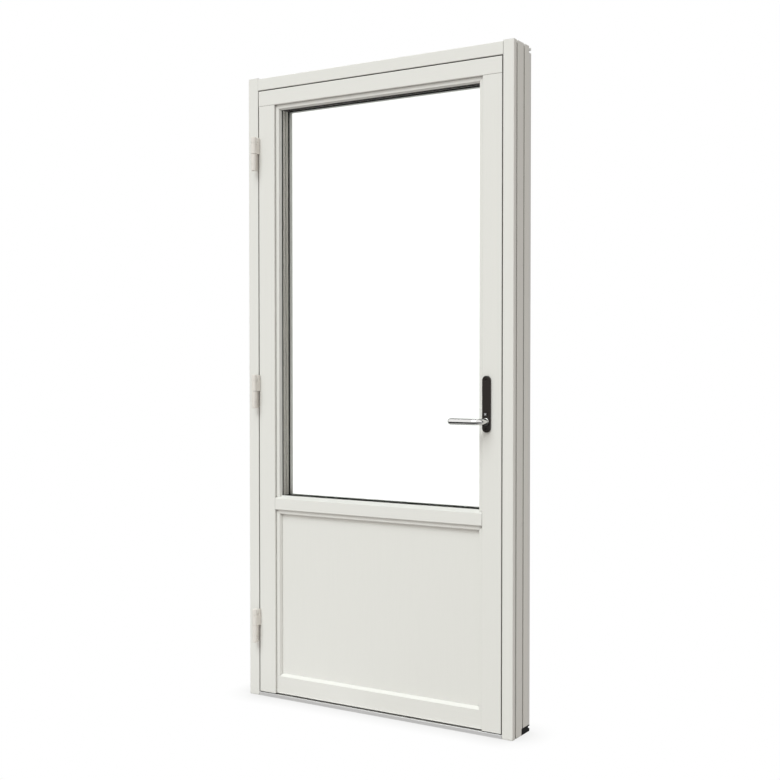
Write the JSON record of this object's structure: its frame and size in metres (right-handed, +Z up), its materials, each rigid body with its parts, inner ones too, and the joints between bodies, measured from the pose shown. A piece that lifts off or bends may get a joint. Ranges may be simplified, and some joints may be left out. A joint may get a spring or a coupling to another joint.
{
  "type": "inward-opening glazed balcony door with frame",
  "caption": "Tall white timber and aluminium balcony door in its frame: one large triple-glazed light over a low solid panel, three barrel hinges on the left and a lever handle on the right.",
  "frame": {"origin": "middle of the frame's underside: half way between the jambs' outer sides and half way through the frame's depth", "axes": "+X from the hinge side to the lock side, +Y from the room to outdoors, +Z up"},
  "size_m": [0.99, 0.1785, 2.08],
  "materials": {
    "painted_timber": "satin white paint on pine",
    "coated_aluminium": "white powder coat on extruded aluminium",
    "anodised_aluminium": "satin anodised",
    "black_composite": "moulded, matt black",
    "grey_seal": "soft extruded seal",
    "clear_glass": "float glass",
    "spacer_grey": "warm-edge spacer bar",
    "black_gasket": "extruded gasket",
    "white_enamel": "off-white enamel",
    "dark_bronze": "dark brown-black satin coat",
    "polished_chrome": "polished",
    "zinc_steel": "zinc-plated steel"
  },
  "bodies": {
    "frame": {"jamb_hinge_side": "painted_timber", "jamb_lock_side": "painted_timber", "frame_head": "painted_timber", "stop_hinge_side": "painted_timber", "stop_lock_side": "painted_timber", "stop_head": "painted_timber", "threshold_sill": "anodised_aluminium", "threshold_core": "black_composite", "frame_cladding_head": "coated_aluminium", "frame_cladding_hinge_side": "coated_aluminium", "frame_cladding_lock_side": "coated_aluminium", "frame_seal": "grey_seal", "strike_plates": "zinc_steel", "strike_screws": "zinc_steel", "hinge_frame_leaf_1": "white_enamel", "hinge_frame_leaf_2": "white_enamel", "hinge_frame_leaf_3": "white_enamel", "hinge_pins": "zinc_steel", "hinge_lower_caps": "white_enamel", "hinge_frame_screws": "zinc_steel"},
    "sash": {"stile_hinge_side": "painted_timber", "stile_lock_side": "painted_timber", "top_rail": "painted_timber", "mid_rail": "painted_timber", "bottom_rail": "painted_timber", "glass_inner": "clear_glass", "glass_middle": "clear_glass", "glass_outer": "clear_glass", "spacer_inner": "spacer_grey", "spacer_outer": "spacer_grey", "glazing_gasket_inner": "black_gasket", "glazing_gasket_outer": "black_gasket", "setting_blocks": "black_composite", "glazing_bead_left": "painted_timber", "glazing_bead_right": "painted_timber", "glazing_bead_top": "painted_timber", "panel_bead_left": "painted_timber", "panel_bead_right": "painted_timber", "panel_bead_top": "painted_timber", "lower_panel": "painted_timber", "sash_cladding_hinge_side": "coated_aluminium", "sash_cladding_lock_side": "coated_aluminium", "sash_cladding_top": "coated_aluminium", "sash_cladding_mid": "coated_aluminium", "sash_cladding_bottom": "coated_aluminium", "hinge_sash_leaf_1": "white_enamel", "hinge_sash_leaf_2": "white_enamel", "hinge_sash_leaf_3": "white_enamel", "hinge_upper_caps": "white_enamel", "hinge_sash_screws": "zinc_steel", "lock_faceplate": "zinc_steel", "gearbox_case": "zinc_steel", "handle_plate": "dark_bronze", "handle_screws": "dark_bronze"},
    "handle": {"handle_lever": "polished_chrome", "handle_spindle": "zinc_steel", "gearbox_hub": "zinc_steel"},
    "button": {"safety_button": "zinc_steel"},
    "upper_bolts": {"upper_rod": "zinc_steel"},
    "lower_bolts": {"lower_rod": "zinc_steel"}
  },
  "joints": [
    {"name": "sash_swing", "type": "hinge", "parent": "frame", "child": "sash", "pos_m": [-0.457, -0.079, 0.24], "axis": [0, 0, -1], "range_deg": [0, 100]},
    {"name": "handle_turn", "type": "hinge", "parent": "sash", "child": "handle", "pos_m": [0.408, -0.059, 0.95], "axis": [0, -1, 0], "range_deg": [0, 90]},
    {"name": "upper_rod_slide", "type": "slide", "parent": "sash", "child": "upper_bolts", "axis": [0, 0, 1], "range_m": [0, 0.018]},
    {"name": "lower_rod_slide", "type": "slide", "parent": "sash", "child": "lower_bolts", "axis": [0, 0, -1], "range_m": [0, 0.0181]},
    {"name": "button_press", "type": "slide", "parent": "sash", "child": "button", "axis": [0, 1, 0], "range_m": [0, 0.0025], "stiffness_N_per_m": 400}
  ],
  "couplings": [
    {"joint": "handle_turn", "follows": "upper_rod_slide", "rad_per_m": 87.26},
    {"joint": "lower_rod_slide", "follows": "upper_rod_slide", "ratio": 1}
  ]
}
